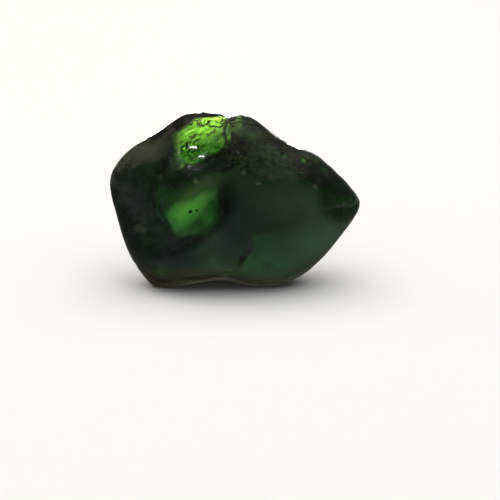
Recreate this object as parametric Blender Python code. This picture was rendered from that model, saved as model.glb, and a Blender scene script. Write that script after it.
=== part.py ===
"""A raw moldavite: one water-worn lump of green impact glass, resting on its underside.

The lump is described in its own frame, in millimetres: U to the right and V up in the plane of
its widest outline, W out of that plane towards the front. Its front and back are each a few worn
faces that meet softly and turn down to the outline. The lump then leans back by LEAN about X and
is set down on the flats worn on its underside. Object units are metres, +Z up.
"""

from math import cos, radians, sin, tan

import bmesh
import bpy
import numpy as np
from mathutils import Vector

MM = 0.001
GRID = 28  # squares along each side of the starting cube
LEAN = 15.0  # degrees
FLOOR_V = 10.05  # from the middle of the lump down to what it rests on

# The widest outline, anticlockwise from the nose at the right: (U, V).
OUTLINE = (
    (15.0, -0.6), (14.2, 1.1), (12.0, 3.4), (9.6, 5.5), (7.0, 6.5), (4.8, 7.7),
    (2.6, 9.5), (0.8, 10.15), (-0.9, 9.9), (-3.8, 10.5), (-6.4, 10.0), (-9.0, 8.3),
    (-13.0, 5.7), (-14.9, 2.8), (-14.7, 0.4), (-13.3, -4.8), (-12.0, -7.5), (-10.2, -10.0),
    (-8.4, -10.5), (-3.5, -9.75), (-1.0, -9.65), (2.6, -10.3), (6.6, -9.75), (10.0, -7.4),
    (13.6, -3.1),
)
CURVE_STEPS = 8  # points read from the outline's curve between two of its own

RIM_FULLNESS = 3.2  # 2 is an ellipse's edge, more is squarer
FACE_BLEND = 0.7  # mm over which two worn faces run into each other

# Worn faces: name, a point on it (U, V) and its height W there, then how many degrees it
# falls away to the right and upwards.
FRONT = (
    ("lower_left", -4.0, -5.0, 6.8, -8, 4),
    ("lower_right", 7.0, -4.0, 6.6, 15, -18),
    ("brow", -2.0, 3.0, 6.4, -2, 26),
    ("upper_right", 7.0, 3.0, 5.7, 22, 22),
    ("left_cheek", -11.0, 0.0, 5.2, -34, 8),
    ("left_bevel", -10.5, 6.4, 3.6, -40, 50),
    ("top_edge", 4.0, 8.3, 3.2, 10, 62),
    ("foot", -5.0, -8.7, 5.2, 0, -62),
)
BACK = (
    ("middle", 1.0, 0.0, 7.4, 4, -2),
    ("top", 0.0, 6.0, 6.0, 6, 34),
    ("left", -9.0, 0.0, 6.4, -30, 6),
    ("right", 8.0, 1.0, 6.2, 26, 14),
    ("underside", 0.0, -8.5, 7.6, 2, -26),
)

# Hollows and lumps: name, side, middle (U, V), degrees its length is turned up from the right,
# half length, width above its deepest line, width below it, depth. A negative depth is a lump.
HOLLOWS = (
    ("crease", 1, 1.6, -6.4, 62, 2.4, 1.1, 0.9, 0.55),
    ("upper_ridge", 1, 3.2, 7.6, -14, 4.2, 1.3, 1.3, -0.45),
    ("shoulder_lump", 1, -10.2, 4.6, 40, 2.6, 1.6, 1.8, -0.5),
    ("shoulder_dent", 1, -7.6, 3.4, 58, 2.4, 1.6, 1.6, 0.35),
    ("left_rib", 1, -13.0, 2.6, 40, 2.2, 0.9, 0.9, -0.3),
    ("right_dent", 1, 5.4, 4.4, 20, 2.6, 1.6, 1.8, 0.4),
    ("right_lump", 1, 9.6, 2.6, -35, 2.4, 1.6, 1.6, -0.35),
    ("nose_dent", 1, 12.0, -2.2, 24, 2.2, 1.2, 1.2, 0.35),
    ("base_dent", 1, -2.8, -8.6, 4, 3.6, 1.4, 1.4, 0.5),
    ("crown_scoop", -1, -3.8, 3.8, 22, 4.4, 6.5, 2.5, 6.3),
    ("groove", -1, -3.6, -4.0, 30, 4.2, 4.9, 2.2, 4.9),
    ("back_scallop", -1, 7.6, 3.0, -30, 3.4, 2.6, 2.2, 1.3),
    ("back_step", -1, 5.4, -4.4, 12, 3.6, 2.0, 1.4, 0.4),
    ("tail_scallop", -1, -10.6, 1.6, 70, 2.8, 2.2, 1.8, 0.4),
    ("heel", -1, -2.0, -7.8, 0, 7.0, 2.4, 2.2, -1.5),
)
LIP = 0.25  # how gently a hollow's sides turn at its deepest line and at its lips


def outline_radius(angles):
    """How far the widest outline reaches at each angle about the middle."""
    ring = [Vector(p) for p in OUTLINE]
    curve = []
    for i, b in enumerate(ring):
        a, c, d = ring[i - 1], ring[(i + 1) % len(ring)], ring[(i + 2) % len(ring)]
        for t in np.arange(CURVE_STEPS) / CURVE_STEPS:
            curve.append(0.5 * (2 * b + (c - a) * t + (2 * a - 5 * b + 4 * c - d) * t**2
                                + (3 * b - a - 3 * c + d) * t**3))
    curve = np.array([tuple(p) for p in curve])
    at = np.arctan2(curve[:, 1], curve[:, 0])
    order = np.argsort(at)
    return np.interp(angles, at[order], np.hypot(*curve[order].T), period=2 * np.pi)


def worn_height(u, v, faces):
    """The lowest of the worn faces at each place, rounded where two meet."""
    total = np.zeros(len(u))
    for _, at_u, at_v, height, right, up in faces:
        plane = height - (u - at_u) * tan(radians(right)) - (v - at_v) * tan(radians(up))
        total += np.exp(-plane / FACE_BLEND)
    return -FACE_BLEND * np.log(total)


def soft_size(x):
    return np.sqrt(x * x + LIP * LIP)


def hollow_depth(u, v, side):
    """Even slopes on both sides of each hollow's deepest line, fading at its two ends."""
    depth = np.zeros(len(u))
    for _, of_side, at_u, at_v, turn, half_length, above, below, deep in HOLLOWS:
        if of_side == side:
            c, s = cos(radians(turn)), sin(radians(turn))
            along = ((u - at_u) * c + (v - at_v) * s) / half_length
            across = (v - at_v) * c - (u - at_u) * s
            left = 1 - soft_size(across / np.where(across > 0, above, below))
            depth += deep * (left + soft_size(left)) / 2 * np.exp(-(along**4))
    return depth


def worn_lump(rays):
    """Where each direction of a unit ball lands on the lump."""
    reach = np.minimum(np.hypot(rays[:, 0], rays[:, 1]), 1)
    u, v = (rays[:, :2] * outline_radius(np.arctan2(rays[:, 1], rays[:, 0]))[:, None]).T
    turned = np.sqrt(1 - reach**RIM_FULLNESS)
    front = worn_height(u, v, FRONT) - hollow_depth(u, v, 1)
    back = worn_height(u, v, BACK) - hollow_depth(u, v, -1)
    w = np.where(rays[:, 2] > 0, front, -back) * turned
    return np.stack([u, v, w], axis=1)


def set_down(points):
    """Leans the lump back, wears its underside flat where it rests and centres its footprint."""
    lean = radians(LEAN)
    u, v, w = points.T
    y = v * sin(lean) - w * cos(lean)
    z = v * cos(lean) + w * sin(lean) + FLOOR_V
    x, y = (side - (side.min() + side.max()) / 2 for side in (u, y))
    return np.stack([x, y, np.maximum(z, 0)], axis=1)


def round_cube():
    """A cube of even squares, blown up to a unit ball."""
    ball = bmesh.new()
    bmesh.ops.create_cube(ball, size=2)
    bmesh.ops.subdivide_edges(ball, edges=ball.edges[:], cuts=GRID - 1, use_grid_fill=True)
    for vert in ball.verts:
        vert.co = Vector(np.tan(np.array(vert.co) * np.pi / 4)).normalized()
    return ball


def dark_green_glass():
    glass = bpy.data.materials.new("moldavite_glass")
    glass.use_nodes = True
    shader = glass.node_tree.nodes["Principled BSDF"]
    shader.inputs["Base Color"].default_value = (0.05, 0.14, 0.07, 1)
    shader.inputs["Roughness"].default_value = 0.15
    shader.inputs["IOR"].default_value = 1.49
    shader.inputs["Transmission Weight"].default_value = 1
    return glass


def moldavite():
    body = round_cube()
    rays = np.array([tuple(vert.co) for vert in body.verts])
    places = set_down(worn_lump(rays)) * MM
    for vert, place in zip(body.verts, places):
        vert.co = place
    body.normal_update()
    mesh = bpy.data.meshes.new("moldavite")
    body.to_mesh(mesh)
    body.free()
    mesh.shade_smooth()
    mesh.materials.append(dark_green_glass())
    return bpy.data.objects.new("moldavite", mesh)


def main():
    for old in list(bpy.data.objects):
        bpy.data.objects.remove(old)
    home = bpy.data.collections.new("raw_moldavite")
    bpy.context.scene.collection.children.link(home)
    home.objects.link(moldavite())


main()
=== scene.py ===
import math
import bmesh
import bpy
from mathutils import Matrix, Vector
from mathutils.bvhtree import BVHTree


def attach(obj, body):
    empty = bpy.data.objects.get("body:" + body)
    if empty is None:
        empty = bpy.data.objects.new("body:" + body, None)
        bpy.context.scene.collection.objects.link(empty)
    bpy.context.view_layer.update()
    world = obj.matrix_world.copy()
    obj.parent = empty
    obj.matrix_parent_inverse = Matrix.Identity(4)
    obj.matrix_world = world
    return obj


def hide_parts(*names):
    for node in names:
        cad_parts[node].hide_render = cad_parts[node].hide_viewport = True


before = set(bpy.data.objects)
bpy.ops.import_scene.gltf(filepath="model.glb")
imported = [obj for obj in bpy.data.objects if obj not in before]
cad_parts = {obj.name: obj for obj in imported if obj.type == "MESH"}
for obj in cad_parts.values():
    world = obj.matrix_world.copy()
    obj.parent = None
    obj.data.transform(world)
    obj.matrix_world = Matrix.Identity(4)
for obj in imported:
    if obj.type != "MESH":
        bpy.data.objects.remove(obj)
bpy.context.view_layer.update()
mm = 0.001

# Lengths are in mm. Places on the stone are given in its own axes, from its middle: u runs right and
# v up its widest outline, and depth runs away from the front. Turns are in degrees and lift the
# right end.
stone = {
    "lean": 15.0,                # how far the outline leans back
    "middleHeight": 10.05,       # from the floor to the middle
    "weld": 0.01,                # corners nearer than this are one
    "smoothing": 2,              # subdivision levels over the CAD form
    "seed": 7,
    "seedStep": 3.7,             # how far one seed is from the next in the noises
    "backFrom": (-0.5, 0.8),     # depths over which the front turns into the back
    "flatBelow": (0.05, 0.8),    # heights over which the relief fades in above the floor
    "relief": {
        "Ripple Height": 0.26,   # soft waves all over
        "Ripple Size": 2.0,
        "Calm": 0.75,            # the share of the ripples that is missing in calm places
        "Crinkle Height": 1.5,   # sharp folds on the back of the crown
        "Crinkle Size": 1.1,
        "Ledge Height": 0.08,    # the small ledge low on the crown
        "Rib Height": 0.04,      # the faint rib just inside the outline
        "Rib Depth": -1.3,       # where it runs
        "Rib Reach": 0.7,        # to each side of that
        "Chip Depth": 0.22,
        "Chip Radius": 0.5,
        "Pit Depth": 0.14,
        "Pit Radius": 0.42,
        "Pit Spacing": 1.2,      # the least between two
        "Pittedness": 0.05,      # pits per square mm of the back
    },
    "rippleGrain": {"Detail": 1.5, "Roughness": 0.45},
    "crinkleGrain": {"Detail": 2, "Roughness": 0.5},
    "crinkleTurn": 35,           # the folds run up to the right
    "crinkleStretch": (0.6, 1, 1.3),
    "areas": {                   # ellipses on the outline, each with its soft edge
        "calmFace": {"at": (7.5, -4.5), "half": (7.0, 4.5), "turn": 10, "soft": 0.4},
        "calmCrown": {"at": (-4.8, 6.4), "half": (2.6, 2.0), "turn": 10, "soft": 0.4},
        "ledge": {"at": (-4.8, 6.4), "half": (1.4, 0.7), "turn": 0, "soft": 1},
        "crinkles": {"at": (-3.2, 7.0), "half": (5.0, 4.2), "turn": 45, "soft": 0.3},
    },
    "chips": [                   # (u, v) of each chip knocked out of the front
        (4.8, 5.7), (5.8, 5.2), (8.0, 4.6), (2.6, 2.1), (1.0, 3.4), (9.4, 1.6),
        (-10.8, -3.3), (-4.5, 2.4), (-6.2, 3.9), (-0.4, -8.3),
    ],
}


def stoneAxes():
    lean = math.radians(stone["lean"])
    right = Vector((1, 0, 0))
    up = Vector((0, math.sin(lean), math.cos(lean)))
    away = Vector((0, math.cos(lean), -math.sin(lean)))
    return right, up, away


def stonePoint(u, v, depth):
    right, up, away = stoneAxes()
    middle = Vector((0, 0, stone["middleHeight"]))
    return (middle + right * u + up * v + away * depth) * mm


# node helpers, for geometry and shader trees alike
def addNode(tree, kind, values=None, links=None, **settings):
    node = tree.nodes.new(kind)
    for name, value in settings.items():
        setattr(node, name, value)
    for key, value in (values or {}).items():
        node.inputs[key].default_value = value
    for key, source in (links or {}).items():
        tree.links.new(source, node.inputs[key])
    return node


def calc(tree, operation, *terms):
    node = addNode(tree, "ShaderNodeMath", operation=operation)
    for socket, term in zip(node.inputs, terms):
        if isinstance(term, (int, float)):
            socket.default_value = term
        else:
            tree.links.new(term, socket)
    return node.outputs[0]


def vectorCalc(tree, operation, values=None, links=None):
    node = addNode(tree, "ShaderNodeVectorMath", values, links, operation=operation)
    return node.outputs["Value" if operation == "LENGTH" else "Vector"]


def smoothMask(tree, value, zeroAt, oneAt):
    return addNode(tree, "ShaderNodeMapRange", {1: zeroAt, 2: oneAt}, {0: value},
                   interpolation_type="SMOOTHSTEP").outputs[0]


def scaled(tree, place, factors):
    return vectorCalc(tree, "MULTIPLY", {1: factors}, {0: place})


def turnedAbout(tree, axis, degrees, place):
    return addNode(tree, "ShaderNodeVectorRotate", {"Angle": math.radians(degrees)}, {"Vector": place},
                   rotation_type=axis + "_AXIS").outputs[0]


def along(tree, axis, vector):
    return addNode(tree, "ShaderNodeSeparateXYZ", links={0: vector}).outputs[axis]


def intoStoneAxes(tree, position):
    inMm = scaled(tree, position, (1 / mm,) * 3)
    centred = vectorCalc(tree, "SUBTRACT", {1: (0, 0, stone["middleHeight"])}, {0: inMm})
    return turnedAbout(tree, "X", stone["lean"], centred)


def ellipseMask(tree, place, area):
    middle, half, soft = area["at"], area["half"], area["soft"]
    offset = vectorCalc(tree, "SUBTRACT", {1: (middle[0], 0, middle[1])}, {0: place})
    turned = turnedAbout(tree, "Y", area["turn"], offset)
    reach = vectorCalc(tree, "LENGTH", links={0: scaled(tree, turned, (1 / half[0], 0, 1 / half[1]))})
    return smoothMask(tree, reach, 1 + soft, 1 - soft)


# the CAD form as smooth quads, its loose triangles joined first
def smoothCopy(node):
    mesh = bpy.data.meshes.new("moldaviteStone")
    body = bmesh.new()
    body.from_mesh(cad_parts[node].data)
    bmesh.ops.remove_doubles(body, verts=body.verts[:], dist=stone["weld"] * mm)
    bmesh.ops.join_triangles(body, faces=body.faces[:], angle_face_threshold=math.pi,
                             angle_shape_threshold=math.pi, topology_influence=2)
    body.to_mesh(mesh)
    body.free()
    piece = bpy.data.objects.new("moldaviteStone", mesh)
    bpy.context.scene.collection.objects.link(piece)
    level = piece.modifiers.new("smoothing", "SUBSURF")
    level.levels = level.render_levels = stone["smoothing"]
    bpy.context.view_layer.update()
    return piece


# a point on the front of the stone for each chip
def chipPoints(piece):
    surface = BVHTree.FromObject(piece, bpy.context.evaluated_depsgraph_get())
    away = stoneAxes()[2]
    wellInFront = -20
    found = [surface.ray_cast(stonePoint(u, v, wellInFront), away)[0] for u, v in stone["chips"]]
    mesh = bpy.data.meshes.new("chipPoints")
    mesh.from_pydata([point for point in found if point], [], [])
    marks = bpy.data.objects.new("chipPoints", mesh)
    bpy.context.scene.collection.objects.link(marks)
    return marks


def openSkinTree():
    tree = bpy.data.node_groups.new("wornSkin", "GeometryNodeTree")
    tree.is_modifier = True
    sockets = {"Geometry": "NodeSocketGeometry"} | dict.fromkeys(stone["relief"], "NodeSocketFloat")
    sockets |= {"Seed": "NodeSocketInt", "Chips": "NodeSocketObject", "Finish": "NodeSocketMaterial"}
    for name, kind in sockets.items():
        tree.interface.new_socket(name, in_out="INPUT", socket_type=kind)
    tree.interface.new_socket("Geometry", in_out="OUTPUT", socket_type="NodeSocketGeometry")
    return tree


# a noise that swings to both sides of zero
def waves(tree, given, name, place, grain):
    shift = calc(tree, "MULTIPLY", given["Seed"], stone["seedStep"])
    scale = calc(tree, "DIVIDE", 1, given[name + " Size"])
    pattern = addNode(tree, "ShaderNodeTexNoise", grain, {"Vector": place, "W": shift, "Scale": scale},
                      noise_dimensions="4D").outputs[0]
    return calc(tree, "MULTIPLY", calc(tree, "SUBTRACT", pattern, 0.5), given[name + " Height"])


# how far the skin is raised, before any chip or pit
def raisedSkin(tree, given, place, depth, back):
    areas = {name: ellipseMask(tree, place, area) for name, area in stone["areas"].items()}

    # soft ripples, calmer on the lower right face and round the ledge
    calm = calc(tree, "MAXIMUM", areas["calmFace"], areas["calmCrown"])
    share = calc(tree, "SUBTRACT", 1, calc(tree, "MULTIPLY", calm, given["Calm"]))
    relief = calc(tree, "MULTIPLY", waves(tree, given, "Ripple", place, stone["rippleGrain"]), share)

    ledge = calc(tree, "MULTIPLY", areas["ledge"], calc(tree, "SUBTRACT", 1, back))
    relief = calc(tree, "MULTIPLY_ADD", ledge, given["Ledge Height"], relief)
    fromRib = calc(tree, "ABSOLUTE", calc(tree, "SUBTRACT", depth, given["Rib Depth"]))
    rib = smoothMask(tree, calc(tree, "DIVIDE", fromRib, given["Rib Reach"]), 1, 0)
    relief = calc(tree, "MULTIPLY_ADD", rib, given["Rib Height"], relief)

    # sharp folds over the back of the crown, drawn out along its slope
    drawnOut = scaled(tree, turnedAbout(tree, "Y", stone["crinkleTurn"], place), stone["crinkleStretch"])
    folds = waves(tree, given, "Crinkle", drawnOut, stone["crinkleGrain"])
    crownBack = calc(tree, "MULTIPLY", areas["crinkles"], back)
    return calc(tree, "MULTIPLY_ADD", folds, crownBack, relief)


# round bowls: chips at the marked points, pits scattered over the back
def bowlMasks(tree, given, back):
    marked = addNode(tree, "GeometryNodeObjectInfo", links={"Object": given["Chips"]})
    chips = addNode(tree, "GeometryNodeMeshToPoints", links={"Mesh": marked.outputs["Geometry"]})
    pits = addNode(tree, "GeometryNodeDistributePointsOnFaces", links={
        "Mesh": given["Geometry"], "Density Factor": back, "Seed": given["Seed"],
        "Distance Min": calc(tree, "MULTIPLY", given["Pit Spacing"], mm),
        "Density Max": calc(tree, "DIVIDE", given["Pittedness"], mm * mm),
    }, distribute_method="POISSON")
    masks = {}
    for name, points in (("Chip", chips), ("Pit", pits)):
        away = addNode(tree, "GeometryNodeProximity", links={0: points.outputs[0]},
                       target_element="POINTS").outputs["Distance"]
        share = calc(tree, "DIVIDE", calc(tree, "DIVIDE", away, mm), given[name + " Radius"])
        masks[name] = smoothMask(tree, share, 1, 0)
    return masks


def wornSkin():
    tree = openSkinTree()
    given = addNode(tree, "NodeGroupInput").outputs
    position = addNode(tree, "GeometryNodeInputPosition").outputs[0]
    place = intoStoneAxes(tree, position)
    depth = along(tree, "Y", place)
    back = smoothMask(tree, depth, *stone["backFrom"])
    relief = raisedSkin(tree, given, place, depth, back)
    masks = bowlMasks(tree, given, back)
    for name, mask in masks.items():
        relief = calc(tree, "SUBTRACT", relief, calc(tree, "MULTIPLY", mask, given[name + " Depth"]))

    # the flats that the stone rests on stay flat
    height = along(tree, "Z", scaled(tree, position, (1 / mm,) * 3))
    relief = calc(tree, "MULTIPLY", relief, smoothMask(tree, height, *stone["flatBelow"]))
    normal = addNode(tree, "GeometryNodeInputNormal").outputs[0]
    offset = vectorCalc(tree, "SCALE", links={0: normal, "Scale": calc(tree, "MULTIPLY", relief, mm)})
    marked = addNode(tree, "GeometryNodeStoreNamedAttribute", {"Name": "chipped"},
                     {"Geometry": given["Geometry"], "Value": masks["Chip"]},
                     data_type="FLOAT", domain="POINT").outputs[0]
    moved = addNode(tree, "GeometryNodeSetPosition",
                    links={"Geometry": marked, "Offset": offset}).outputs[0]
    smooth = addNode(tree, "GeometryNodeSetShadeSmooth", links={"Geometry": moved}).outputs[0]
    real = addNode(tree, "GeometryNodeRealizeInstances", links={0: smooth}).outputs[0]
    done = addNode(tree, "GeometryNodeSetMaterial",
                   links={"Geometry": real, "Material": given["Finish"]}).outputs[0]
    addNode(tree, "NodeGroupOutput", links={0: done})
    return tree


def setInputs(modifier, values):
    for item in modifier.node_group.interface.items_tree:
        if item.item_type == "SOCKET" and item.in_out == "INPUT" and item.name in values:
            modifier[item.identifier] = values[item.name]


def bakeSkin(piece, marks, finish):
    skin = piece.modifiers.new("wornSkin", "NODES")
    skin.node_group = wornSkin()
    setInputs(skin, stone["relief"] | {"Seed": stone["seed"], "Chips": marks, "Finish": finish})
    bpy.context.view_layer.update()
    baked = bpy.data.meshes.new_from_object(piece.evaluated_get(bpy.context.evaluated_depsgraph_get()))
    piece.modifiers.clear()
    piece.data = baked
    # nothing dips under the floor
    for vert in baked.vertices:
        vert.co.z = max(vert.co.z, 0)
    bpy.data.objects.remove(marks)


# The glass. Each patch is laid over the ones before it: where its middle is, its half length and
# width, its turn, the side it is on, how soft its edge is, the tint that light takes on passing it,
# how rough it is, how deep its grain is, how far streaks show in it and how frosted it is.
# Many tints below are painted light and shade: clear ones where the glow is to show, near-black ones
# where shade is to fall.
glass = {
    "ior": 1.49,
    "clear": 0.975,                  # the rest is a dull share that shows the tints as body colour
    "gloss": 0.5,                    # square on, the worn skin reflects half of what clean glass does
    "colour": (0.26, 0.46, 0.4),     # tint, roughness and grain where no patch lies
    "rough": 0.08,
    "grain": 0.04,
    "grainSize": 0.6,
    "bodyTint": (0.46, 0.58, 0.42),  # a mm of glass lets through exp(each of these - 1)
    "density": 1000,                 # per metre
    "frost": (1, 0.9, 0.7),          # chips and mottles
    "frostRough": 0.5,
    "mottleSize": 1.1,
    "mottleFrom": (0.44, 0.68),      # values of the noise over which a mottle fades in
    "fineDetail": 3,                 # octaves in the grain and the mottles
    # streaks: painted highlights on the crests and painted shade in the troughs and thin lines, over the
    # light seen through the glass
    "streakSize": 0.6,
    "streakTurn": 28,                # they run up to the right
    "streakStretch": (0.3, 0.2, 1),
    "streakDetail": 5,
    "streakRoughness": 0.72,
    "crestFrom": (0.55, 0.72),       # values of the noise over which a bright crest fades in
    "crestTint": (1, 1, 0.3),
    "troughFrom": (0.62, 0.32),      # and those over which a dark trough does
    "troughShade": 0.7,
    "lineReach": 0.09,               # how far from its middle value a thin dark line fades out
    "lineShade": 0.75,
    "sides": {                       # depths over which the patches of each side fade in
        "back": (-0.5, 0.5),
        "front": (0.5, -0.5),
        "rim": (1.2, 0.4),           # the front and a little past the outline
    },
    "patchDefaults": {"turn": 0, "side": "front", "soft": 0.3, "streak": 0, "frost": 0},
    "patches": {
        "backSkin": {"at": (0, 0), "half": (40, 40), "side": "back",
                     "tint": (0.24, 0.55, 0.26), "rough": 0.3, "grain": 0.12},
        # the worn left shoulder and the ridge on the right
        "shoulder": {"at": (-9.9, 4.7), "half": (5.5, 3.2), "turn": 40,
                     "tint": (0.07, 0.08, 0.05), "rough": 0.12, "grain": 0.12,
                     "streak": 0.1, "frost": 0.9},
        "topRight": {"at": (4.5, 5.0), "half": (8.0, 3.4), "turn": -20,
                     "tint": (0.1, 0.14, 0.11), "rough": 0.12, "grain": 0.12,
                     "streak": 0.15, "frost": 0.3},
        "topRightFrost": {"at": (4.8, 5.5), "half": (1.6, 0.7), "turn": -28, "soft": 0.6,
                          "tint": (0.2, 0.22, 0.12), "rough": 0.4, "grain": 0.12,
                          "streak": 0.2, "frost": 1},
        # the lower front, its paler clouds, and painted shade along its crease
        "lowerFront": {"at": (1.0, -7.5), "half": (20, 9.0), "turn": 6,
                       "tint": (0.38, 0.44, 0.56), "rough": 0.35, "grain": 0.01},
        "cloud": {"at": (-2.4, -6.3), "half": (3.6, 2.4),
                  "tint": (0.55, 0.75, 0.95), "rough": 0.5, "grain": 0.01},
        "cloudLow": {"at": (1.4, -8.0), "half": (2.0, 1.5),
                     "tint": (0.6, 0.8, 0.8), "rough": 0.5, "grain": 0.01},
        "creaseShade": {"at": (2.9, -4.9), "half": (1.2, 1.5), "soft": 0.9,
                        "tint": (0.27, 0.29, 0.4), "rough": 0.35, "grain": 0.01},
        "crease": {"at": (1.4, -6.0), "half": (2.1, 0.55), "turn": 60, "soft": 0.5,
                   "tint": (0.008, 0.012, 0.013), "rough": 0.2, "grain": 0.02},
        # the crown, with painted tints that set how bright its glow shows and darken it towards its
        # ends, and a painted reflection and sheen on the skin past them
        "crownEdge": {"at": (-4.2, 7.4), "half": (6.2, 3.4), "turn": 35,
                      "tint": (0.022, 0.036, 0.02), "rough": 0.12, "grain": 0.06,
                      "streak": 0.15, "frost": 0.1},
        "crownFade": {"at": (-1.6, 7.6), "half": (4.4, 2.6), "turn": 30, "soft": 0.5,
                      "tint": (0.04, 0.1, 0.02), "rough": 0.12, "grain": 0.04, "streak": 0.6},
        "crownLeft": {"at": (-8.1, 6.2), "half": (2.8, 2.9), "turn": 20,
                      "tint": (0.008, 0.012, 0.008), "rough": 0.6, "grain": 0.06,
                      "streak": 0.05, "frost": 0.1},
        # a painted warm reflection on the left shoulder
        "shoulderLight": {"at": (-10.9, 5.4), "half": (2.3, 1.4), "turn": 35, "soft": 0.7,
                          "tint": (1, 0.84, 0.5), "rough": 0.6, "grain": 0.3, "frost": 0.3},
        "crownLow": {"at": (-4.9, 5.8), "half": (1.65, 2.0), "soft": 0.4,
                     "tint": (0.08, 0.32, 0.018), "rough": 0.05, "grain": 0.02, "streak": 1},
        "crown": {"at": (-3.9, 8.4), "half": (2.8, 1.25), "turn": 35, "soft": 0.5,
                  "tint": (0.5, 1, 0.06), "rough": 0.05, "grain": 0.02, "streak": 1},
        "crownRight": {"at": (-2.0, 6.3), "half": (2.2, 1.3), "turn": 15, "soft": 0.5,
                       "tint": (0.05, 0.18, 0.02), "rough": 0.14, "grain": 0.03, "streak": 0.5},
        "crownTip": {"at": (1.4, 8.2), "half": (1.9, 2.6), "soft": 0.5,
                     "tint": (0.06, 0.1, 0.045), "rough": 0.12, "grain": 0.06,
                     "streak": 0.3, "frost": 0.3},
        # a painted sheen along the ridge
        "ridgeLight": {"at": (2.0, 7.9), "half": (2.6, 0.4), "turn": -6, "soft": 0.8,
                       "tint": (0.28, 0.3, 0.18), "rough": 0.4, "grain": 0.06,
                       "streak": 0.1, "frost": 0.5},
        # light comes in behind the crown through a clear tint, and near-black tints paint shade past its
        # left end and over its top
        "crownBack": {"at": (-4.0, 6.6), "half": (5.2, 4.6), "turn": 30, "side": "back",
                      "tint": (0.8, 1, 0.3), "rough": 0.05, "grain": 0.3},
        "crownBackShade": {"at": (-8.7, 5.4), "half": (2.3, 3.0), "side": "back", "soft": 0.12,
                         "tint": (0.003, 0.004, 0.003), "rough": 0.3, "grain": 0.12},
        "cap": {"at": (-6.4, 9.9), "half": (4.8, 1.5), "turn": 35, "side": "rim",
                "tint": (0, 0, 0), "rough": 0.12, "grain": 0.05},
        "capEndShade": {"at": (-2.8, 10.6), "half": (3.4, 0.9), "turn": 6, "side": "rim",
                   "tint": (0, 0, 0), "rough": 0.12, "grain": 0.05},
        # light comes in behind the pool through a clear tint, and near-black tints on the back paint
        # shade round it
        "poolBack": {"at": (-5.4, -1.2), "half": (6.0, 4.4), "turn": 36, "side": "back",
                     "tint": (0.9, 1, 0.7), "rough": 0.4, "grain": 0.02},
        "leftBackShade": {"at": (-11.6, -1.0), "half": (4.3, 8.0), "side": "back", "soft": 0.2,
                     "tint": (0.003, 0.004, 0.003), "rough": 0.3, "grain": 0.12},
        "poolFootShade": {"at": (-7.3, -3.5), "half": (3.0, 1.5), "turn": -52, "side": "back", "soft": 0.45,
                     "tint": (0.003, 0.004, 0.003), "rough": 0.3, "grain": 0.12},
        # the pool of light, brightest in its middle: painted tints set how bright the light through it
        # shows, with painted shade under it
        "poolEdge": {"at": (-5.0, -0.2), "half": (5.4, 4.0), "turn": 38,
                     "tint": (0.08, 0.135, 0.11), "rough": 0.25, "grain": 0.03},
        "poolHalo": {"at": (-4.6, 0.6), "half": (4.0, 1.9), "turn": 42, "soft": 0.45,
                     "tint": (0.2, 0.4, 0.22), "rough": 0.3, "grain": 0.03, "frost": 0.1},
        "pool": {"at": (-4.4, 0.5), "half": (2.8, 1.1), "turn": 42, "soft": 0.6,
                 "tint": (0.8, 1, 0.58), "rough": 0.3, "grain": 0.04, "frost": 0.4},
        "poolShade": {"at": (-3.6, -2.9), "half": (4.4, 1.4), "turn": 42, "soft": 0.45,
                      "tint": (0.04, 0.07, 0.065), "rough": 0.25, "grain": 0.03},
        # the lower back and the foot: near-black tints on the back paint shade low in the stone, the
        # lower right back is dimmer, and the front is darker along the foot
        "lowerRight": {"at": (7.0, -4.6), "half": (6.5, 4.2), "turn": 16, "side": "back",
                       "tint": (0.14, 0.16, 0.25), "rough": 0.45, "grain": 0.02},
        "heel": {"at": (-4.5, -7.6), "half": (7.5, 3.5), "side": "back", "soft": 0.12,
                 "tint": (0.004, 0.006, 0.005), "rough": 0.45, "grain": 0.02},
        "heelTop": {"at": (-3.6, -5.2), "half": (2.4, 1.3), "side": "back", "soft": 0.15,
                    "tint": (0.004, 0.006, 0.005), "rough": 0.45, "grain": 0.02},
        "foot": {"at": (-5.0, -9.9), "half": (9.0, 1.7), "soft": 0.4,
                 "tint": (0.01, 0.012, 0.01), "rough": 0.25, "grain": 0.02},
        # the left flank and two pale flecks
        "leftFlank": {"at": (-10.8, -1.5), "half": (3.5, 6.8), "turn": 10,
                      "tint": (0.12, 0.26, 0.21), "rough": 0.2, "grain": 0.06, "frost": 0.15},
        "flankFleck": {"at": (-11.0, -3.2), "half": (0.6, 0.4), "turn": -15, "soft": 0.8,
                       "tint": (0.9, 1, 0.9), "rough": 0.6, "grain": 0.3, "frost": 1},
        "footFleck": {"at": (-1.3, -8.7), "half": (0.35, 0.25), "turn": 20, "soft": 0.8,
                      "tint": (1, 1, 0.9), "rough": 0.6, "grain": 0.2, "frost": 1},
        # the right end
        "rightHaze": {"at": (7.4, -0.9), "half": (4.2, 1.8), "turn": -8, "soft": 0.7,
                      "tint": (0.65, 0.85, 0.65), "rough": 0.4, "grain": 0.02},
        # a painted pale teal sheen on the lower right of the front
        "rightSheen": {"at": (9.8, -3.8), "half": (3.0, 2.2), "turn": 25, "soft": 0.6,
                      "tint": (0.75, 1, 0.95), "rough": 0.4, "grain": 0.01},
        "nose": {"at": (12.8, 0.4), "half": (3.2, 3.2),
                 "tint": (0.06, 0.1, 0.08), "rough": 0.2, "grain": 0.03},
        # two dark specks in the pool
        "speckLeft": {"at": (-5.14, -1.25), "half": (0.26, 0.2), "turn": 20,
                      "tint": (0.01, 0.01, 0.01), "rough": 0.1, "grain": 0},
        "speckRight": {"at": (-4.42, -1.14), "half": (0.2, 0.15),
                       "tint": (0.01, 0.01, 0.01), "rough": 0.1, "grain": 0},
    },
}


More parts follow.
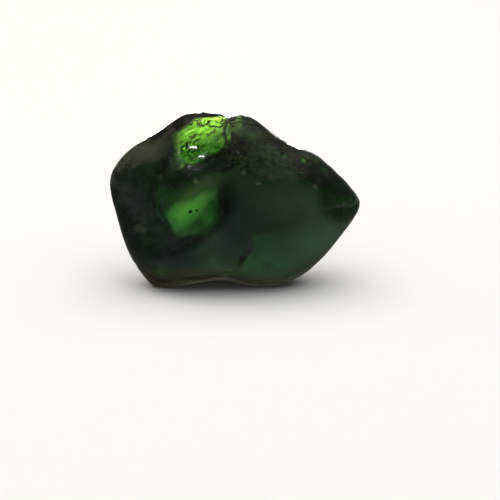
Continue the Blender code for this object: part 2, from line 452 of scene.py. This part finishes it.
def blend(tree, mask, under, over):
    node = addNode(tree, "ShaderNodeMix", {3: over}, {0: mask})
    if isinstance(under, (int, float)):
        node.inputs[2].default_value = under
    else:
        tree.links.new(under, node.inputs[2])
    return node.outputs[0]


def blendColour(tree, mask, under, over):
    return addNode(tree, "ShaderNodeMix", {7: (*over, 1)}, {0: mask, 6: under},
                   data_type="RGBA").outputs[2]


def noise(tree, place, size, detail, roughness=0.5):
    grain = {"Scale": 1 / size, "Detail": detail, "Roughness": roughness}
    return addNode(tree, "ShaderNodeTexNoise", grain, {"Vector": place}).outputs[0]


def layPatches(tree, place):
    depth = along(tree, "Y", place)
    sides = {name: smoothMask(tree, depth, *fade) for name, fade in glass["sides"].items()}
    colour = addNode(tree, "ShaderNodeRGB").outputs[0]
    colour.default_value = (*glass["colour"], 1)
    looks = {"rough": glass["rough"], "grain": glass["grain"], "streak": 0, "frost": 0}
    for patch in glass["patches"].values():
        patch = glass["patchDefaults"] | patch
        mask = calc(tree, "MULTIPLY", ellipseMask(tree, place, patch), sides[patch["side"]])
        colour = blendColour(tree, mask, colour, patch["tint"])
        for name, under in looks.items():
            looks[name] = blend(tree, mask, under, patch[name])
    return colour, looks


# painted highlights and shade in the light seen through the glass: bright crests, dark troughs, and thin
# dark lines where a drawn-out noise crosses its middle
def cutStreaks(tree, place, colour, streak):
    drawn = scaled(tree, turnedAbout(tree, "Y", glass["streakTurn"], place), glass["streakStretch"])
    drawn = noise(tree, drawn, glass["streakSize"], glass["streakDetail"], glass["streakRoughness"])
    crests = calc(tree, "MULTIPLY", smoothMask(tree, drawn, *glass["crestFrom"]), streak)
    troughs = calc(tree, "MULTIPLY", smoothMask(tree, drawn, *glass["troughFrom"]), glass["troughShade"])
    fromMiddle = calc(tree, "ABSOLUTE", calc(tree, "SUBTRACT", drawn, 0.5))
    lines = smoothMask(tree, fromMiddle, glass["lineReach"], 0)
    dark = calc(tree, "MAXIMUM", calc(tree, "MULTIPLY", lines, glass["lineShade"]), troughs)
    kept = calc(tree, "SUBTRACT", 1, calc(tree, "MULTIPLY", dark, streak))
    colour = blendColour(tree, crests, colour, glass["crestTint"])
    return vectorCalc(tree, "SCALE", links={0: colour, "Scale": kept})


# how frosted the skin is: in mottles, and wholly in the chips
def frosting(tree, place, frost):
    mottles = noise(tree, place, glass["mottleSize"], glass["fineDetail"])
    mottles = calc(tree, "MULTIPLY", smoothMask(tree, mottles, *glass["mottleFrom"]), frost)
    chipped = addNode(tree, "ShaderNodeAttribute", attribute_name="chipped").outputs["Fac"]
    return calc(tree, "MAXIMUM", mottles, chipped)


def moldaviteGlass():
    finish = bpy.data.materials.new("moldaviteGlass")
    finish.use_nodes = True
    tree = finish.node_tree
    shader = tree.nodes["Principled BSDF"]
    shader.inputs["Transmission Weight"].default_value = glass["clear"]
    shader.inputs["Specular Tint"].default_value = (*(glass["gloss"],) * 3, 1)
    shader.inputs["IOR"].default_value = glass["ior"]

    place = intoStoneAxes(tree, addNode(tree, "ShaderNodeTexCoord").outputs["Object"])
    colour, looks = layPatches(tree, place)
    colour = cutStreaks(tree, place, colour, looks["streak"])
    frosted = frosting(tree, place, looks["frost"])
    colour = blendColour(tree, frosted, colour, glass["frost"])
    rough = blend(tree, frosted, looks["rough"], glass["frostRough"])
    tree.links.new(colour, shader.inputs["Base Color"])
    tree.links.new(rough, shader.inputs["Roughness"])

    etched = calc(tree, "SUBTRACT", noise(tree, place, glass["grainSize"], glass["fineDetail"]), 0.5)
    etched = calc(tree, "MULTIPLY", etched, looks["grain"])
    bump = addNode(tree, "ShaderNodeBump", {"Distance": mm, "Strength": 1}, {"Height": etched})
    tree.links.new(bump.outputs[0], shader.inputs["Normal"])

    inside = addNode(tree, "ShaderNodeVolumeAbsorption",
                     {"Color": (*glass["bodyTint"], 1), "Density": glass["density"]})
    tree.links.new(inside.outputs[0], tree.nodes["Material Output"].inputs["Volume"])
    return finish


# The studio, in metres. The sky is given from straight down to straight up: (height, shade). The
# stone mirrors its lower half in place of the floor, as light thrown back by a table.
studio = {
    "floorReach": 0.9,
    "floorSides": 96,
    "floorShade": (0.86, 0.86, 0.86),
    "backdrop": (0.9, 0.9, 0.89),    # what the camera sees past the floor
    "cameraTilt": 15.0,              # degrees down
    "cameraDistance": 0.166,
    "focalLength": 100,              # mm
    "aim": (1.79, -5.92),            # mm right of and above the stone's middle
    "sky": [
        (-1.0, (0.2, 0.17, 0.14)),
        (-0.6, (0.2, 0.17, 0.14)),
        (-0.34, (0.1, 0.1, 0.095)),
        (-0.05, (0.1, 0.1, 0.095)),
        (-0.01, (0.85, 0.85, 0.84)),
        (0.03, (0.85, 0.85, 0.84)),
        (0.16, (0.13, 0.13, 0.125)),
        (1.0, (0.13, 0.13, 0.125)),
    ],
    "lowCard": {                     # a pale card low in front of the stone, and where it fades in
        "shade": (0.74, 0.84, 0.84),
        "bottom": (-0.95, -0.85),
        "top": (-0.34, -0.5),
        "front": (0, -0.3),
    },
    "lampDefaults": {"aim": (0, 0, 0.01), "turn": 0, "shape": "RECTANGLE", "colour": (1, 1, 1),
                     "hiddenFrom": ()},
    "lamps": {
        "backPanel": {"at": (-0.012, 0.25, 0.026), "size": (0.11, 0.05), "shape": "ELLIPSE",
                      "brightness": 60, "hiddenFrom": ("diffuse",)},
        "sideGlow": {"at": (-0.16, 0.22, 0.05), "size": (0.12, 0.09), "shape": "ELLIPSE",
                     "brightness": 6, "colour": (0.8, 1, 0.95), "hiddenFrom": ("diffuse", "glossy")},
        "topCard": {"at": (0.1, 0.25, 0.7), "size": (0.9, 0.7),
                    "brightness": 0.5, "colour": (1, 0.9, 0.72)},
        "sideCard": {"at": (-0.36, 0.17, 0.31), "size": (0.3, 0.25),
                     "brightness": 0.7, "colour": (1, 0.88, 0.62)},
        "glintLamp": {"at": (-0.156, -0.096, 0.437), "aim": (0, 0, 0.015), "turn": 62,
                      "size": (0.055, 0.02), "brightness": 90,
                      "hiddenFrom": ("diffuse", "transmission")},
        "roomFill": {"at": (0, 0.1, 1.2), "aim": (0, 0.1, 0), "size": (2.4, 2.4),
                     "brightness": 1.55, "hiddenFrom": ("glossy", "transmission")},
    },
    "underGlow": {                   # discs behind the stone, flat on the floor, one over another
        "at": (-0.003, 0.025, 0.001),
        "reaches": (4, 7, 10, 13),   # mm
        "brightness": 5.2,
        "colour": (1, 1, 0.9),
    },
}


def lookAt(thing, spot):
    thing.rotation_euler = (Vector(spot) - thing.location).to_track_quat("-Z", "Y").to_euler()


def softbox(name, given):
    given = studio["lampDefaults"] | given
    width, height = given["size"]
    lamp = bpy.data.lights.new(name, "AREA")
    lamp.shape = given["shape"]
    lamp.size = width
    lamp.size_y = height
    lamp.energy = given["brightness"] * math.pi * width * height
    lamp.color = given["colour"]
    box = bpy.data.objects.new(name, lamp)
    bpy.context.scene.collection.objects.link(box)
    box.location = given["at"]
    lookAt(box, given["aim"])
    box.rotation_euler.rotate_axis("Z", math.radians(given["turn"]))
    for rays in ("camera", *given["hiddenFrom"]):
        setattr(box, "visible_" + rays, False)


def buildFloor():
    body = bmesh.new()
    bmesh.ops.create_circle(body, cap_ends=True, segments=studio["floorSides"],
                            radius=studio["floorReach"])
    mesh = bpy.data.meshes.new("paleFloor")
    body.to_mesh(mesh)
    body.free()
    paper = bpy.data.materials.new("palePaper")
    paper.use_nodes = True
    shader = paper.node_tree.nodes["Principled BSDF"]
    shader.inputs["Base Color"].default_value = (*studio["floorShade"], 1)
    shader.inputs["Roughness"].default_value = 1
    shader.inputs["Specular IOR Level"].default_value = 0
    mesh.materials.append(paper)
    floor = bpy.data.objects.new("paleFloor", mesh)
    bpy.context.scene.collection.objects.link(floor)
    floor.visible_glossy = False


def buildSky():
    world = bpy.data.worlds.new("studioSky")
    bpy.context.scene.world = world
    world.use_nodes = True
    tree = world.node_tree
    way = addNode(tree, "ShaderNodeTexCoord").outputs["Generated"]
    up = along(tree, "Z", way)
    # heights of -1 to 1 are 0 to 1 on the ramp
    ramp = addNode(tree, "ShaderNodeValToRGB", links={0: calc(tree, "MULTIPLY_ADD", up, 0.5, 0.5)})
    stops = ramp.color_ramp.elements
    stops.remove(stops[1])
    for index, (height, shade) in enumerate(studio["sky"]):
        stop = stops[0] if index == 0 else stops.new(height / 2 + 0.5)
        stop.color = (*shade, 1)
    card = studio["lowCard"]
    mask = smoothMask(tree, along(tree, "Y", way), *card["front"])
    for edge in (card["bottom"], card["top"]):
        mask = calc(tree, "MULTIPLY", mask, smoothMask(tree, up, *edge))
    shade = blendColour(tree, mask, ramp.outputs[0], card["shade"])
    seen = addNode(tree, "ShaderNodeLightPath").outputs["Is Camera Ray"]
    shade = blendColour(tree, seen, shade, studio["backdrop"])
    tree.links.new(shade, tree.nodes["Background"].inputs["Color"])


def buildLamps():
    for name, given in studio["lamps"].items():
        softbox(name, given)
    glow = studio["underGlow"]
    x, y, z = glow["at"]
    for reach in glow["reaches"]:
        softbox("underGlow", {"at": (x, y, z), "aim": (x, y, 1), "size": (2 * reach * mm,) * 2,
                              "shape": "ELLIPSE", "brightness": glow["brightness"],
                              "colour": glow["colour"], "hiddenFrom": ("diffuse", "glossy")})


def buildCamera():
    tilt = math.radians(studio["cameraTilt"])
    right = Vector((1, 0, 0))
    back = Vector((0, -math.cos(tilt), math.sin(tilt)))
    middle = Vector((0, 0, stone["middleHeight"] * mm))
    lens = bpy.data.cameras.new("camera")
    lens.lens = studio["focalLength"]
    camera = bpy.data.objects.new("camera", lens)
    bpy.context.scene.collection.objects.link(camera)
    bpy.context.scene.camera = camera
    camera.location = middle + back * studio["cameraDistance"]
    lookAt(camera, middle + (right * studio["aim"][0] + back.cross(right) * studio["aim"][1]) * mm)


bpy.context.scene.view_settings.view_transform = "Standard"
buildCamera()
buildFloor()
buildSky()
buildLamps()
print("studio: camera, floor, sky,", len(studio["lamps"]), "lamps and a glow behind the stone")

finish = moldaviteGlass()
print("glass:", len(glass["patches"]), "patches,", len(finish.node_tree.nodes), "nodes")

piece = smoothCopy("moldavite")
marks = chipPoints(piece)
print("form: smoothed,", len(marks.data.vertices), "chips marked")
bakeSkin(piece, marks, finish)
print("skin: baked,", len(piece.data.polygons), "faces")

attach(piece, "root")
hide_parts("moldavite")
